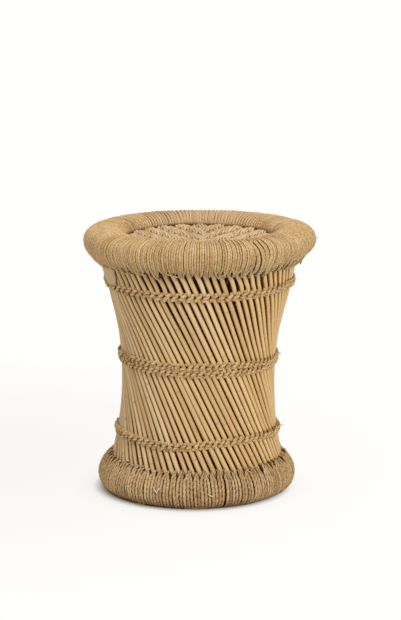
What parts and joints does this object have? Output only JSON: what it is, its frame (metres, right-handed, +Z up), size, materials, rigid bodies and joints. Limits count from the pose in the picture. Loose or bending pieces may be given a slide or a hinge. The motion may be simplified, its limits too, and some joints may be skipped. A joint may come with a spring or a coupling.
{
  "type": "mudda stool",
  "caption": "Round hourglass stool of slanting reeds between two rings wrapped in jute cord, with twined bands and a woven cord seat.",
  "frame": {"origin": "middle of the footprint, on the floor", "axes": "+Z up, along the stool's axis; -Y towards the viewer of the picture"},
  "size_m": [0.4, 0.3987, 0.464],
  "materials": {
    "outer_reed": "smooth pale straw-coloured reed with a slight sheen",
    "inner_reed": "smooth straw-coloured reed, a little darker",
    "wrap_cord": "rough twisted jute cord",
    "band_cord": "rough twined jute strands",
    "seat_cord": "rough woven jute cord",
    "ring_core": "rough bundled grass"
  },
  "bodies": {
    "root": {"base_ring_cord": "wrap_cord", "base_ring_core": "ring_core", "flat_splint": "outer_reed", "inner_reeds_01": "inner_reed", "inner_reeds_02": "inner_reed", "inner_reeds_03": "inner_reed", "inner_reeds_04": "inner_reed", "inner_reeds_05": "inner_reed", "inner_reeds_06": "inner_reed", "inner_reeds_07": "inner_reed", "inner_reeds_08": "inner_reed", "inner_reeds_09": "inner_reed", "inner_reeds_10": "inner_reed", "inner_reeds_11": "inner_reed", "inner_reeds_12": "inner_reed", "inner_reeds_13": "inner_reed", "inner_reeds_14": "inner_reed", "inner_reeds_15": "inner_reed", "inner_reeds_16": "inner_reed", "inner_reeds_17": "inner_reed", "inner_reeds_18": "inner_reed", "inner_reeds_19": "inner_reed", "lower_band": "band_cord", "lower_band_back": "band_cord", "middle_band_back": "band_cord", "middle_band_lower_row": "band_cord", "middle_band_upper_row": "band_cord", "outer_reeds_01": "outer_reed", "outer_reeds_02": "outer_reed", "outer_reeds_03": "outer_reed", "outer_reeds_04": "outer_reed", "outer_reeds_05": "outer_reed", "outer_reeds_06": "outer_reed", "outer_reeds_07": "outer_reed", "outer_reeds_08": "outer_reed", "outer_reeds_09": "outer_reed", "outer_reeds_10": "outer_reed", "outer_reeds_11": "outer_reed", "outer_reeds_12": "outer_reed", "outer_reeds_13": "outer_reed", "outer_reeds_14": "outer_reed", "outer_reeds_15": "outer_reed", "outer_reeds_16": "outer_reed", "outer_reeds_17": "outer_reed", "outer_reeds_18": "outer_reed", "outer_reeds_19": "outer_reed", "seat_edge_cord": "seat_cord", "seat_weave": "seat_cord", "top_ring_cord": "wrap_cord", "top_ring_core": "ring_core", "upper_band": "band_cord", "upper_band_back": "band_cord"}
  },
  "joints": []
}
